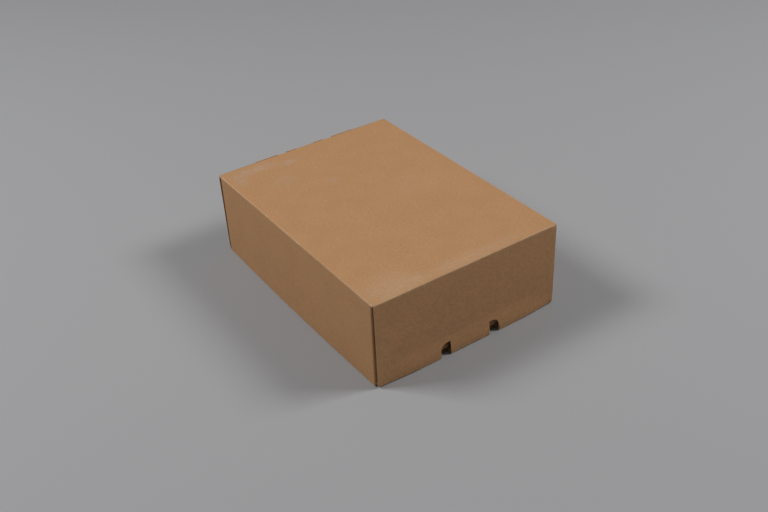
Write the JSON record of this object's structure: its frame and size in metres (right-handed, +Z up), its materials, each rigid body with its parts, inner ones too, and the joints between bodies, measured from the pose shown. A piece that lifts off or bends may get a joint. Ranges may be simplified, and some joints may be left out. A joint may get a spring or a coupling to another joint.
{
  "type": "corrugated shipping carton",
  "caption": "Flat oblong shipping carton folded from one corrugated sheet, closed at both short ends by hinged flaps that tuck in.",
  "frame": {"origin": "on the floor, under the middle of the closed box", "axes": "+X across the width, +Y along the length towards the far end, +Z up"},
  "size_m": [0.23, 0.3162, 0.1],
  "materials": {
    "kraft_board": "matt brown kraft liner"
  },
  "bodies": {
    "carton": {"carton_body": "kraft_board"},
    "near_flap": {"near_closing_flap": "kraft_board"},
    "near_tuck": {"near_tuck_flap": "kraft_board"},
    "far_flap": {"far_closing_flap": "kraft_board"},
    "far_tuck": {"far_tuck_flap": "kraft_board"}
  },
  "joints": [
    {"name": "near_flap_hinge", "type": "hinge", "parent": "carton", "child": "near_flap", "pos_m": [0, -0.15394, 0.0992], "axis": [-1, 0, 0], "range_deg": [0, 100]},
    {"name": "near_tuck_fold", "type": "hinge", "parent": "near_flap", "child": "near_tuck", "pos_m": [0, -0.15649, 0.00273], "axis": [-1, 0, 0], "range_deg": [-40, 0]},
    {"name": "far_flap_hinge", "type": "hinge", "parent": "carton", "child": "far_flap", "pos_m": [0, 0.15446, 0.0008], "axis": [-1, 0, 0], "range_deg": [0, 88]},
    {"name": "far_tuck_fold", "type": "hinge", "parent": "far_flap", "child": "far_tuck", "pos_m": [0, 0.15649, 0.09728], "axis": [-1, 0, 0], "range_deg": [-35.2, 0]}
  ],
  "couplings": [
    {"joint": "near_tuck_fold", "follows": "near_flap_hinge", "ratio": -0.4},
    {"joint": "far_tuck_fold", "follows": "far_flap_hinge", "ratio": -0.4}
  ]
}
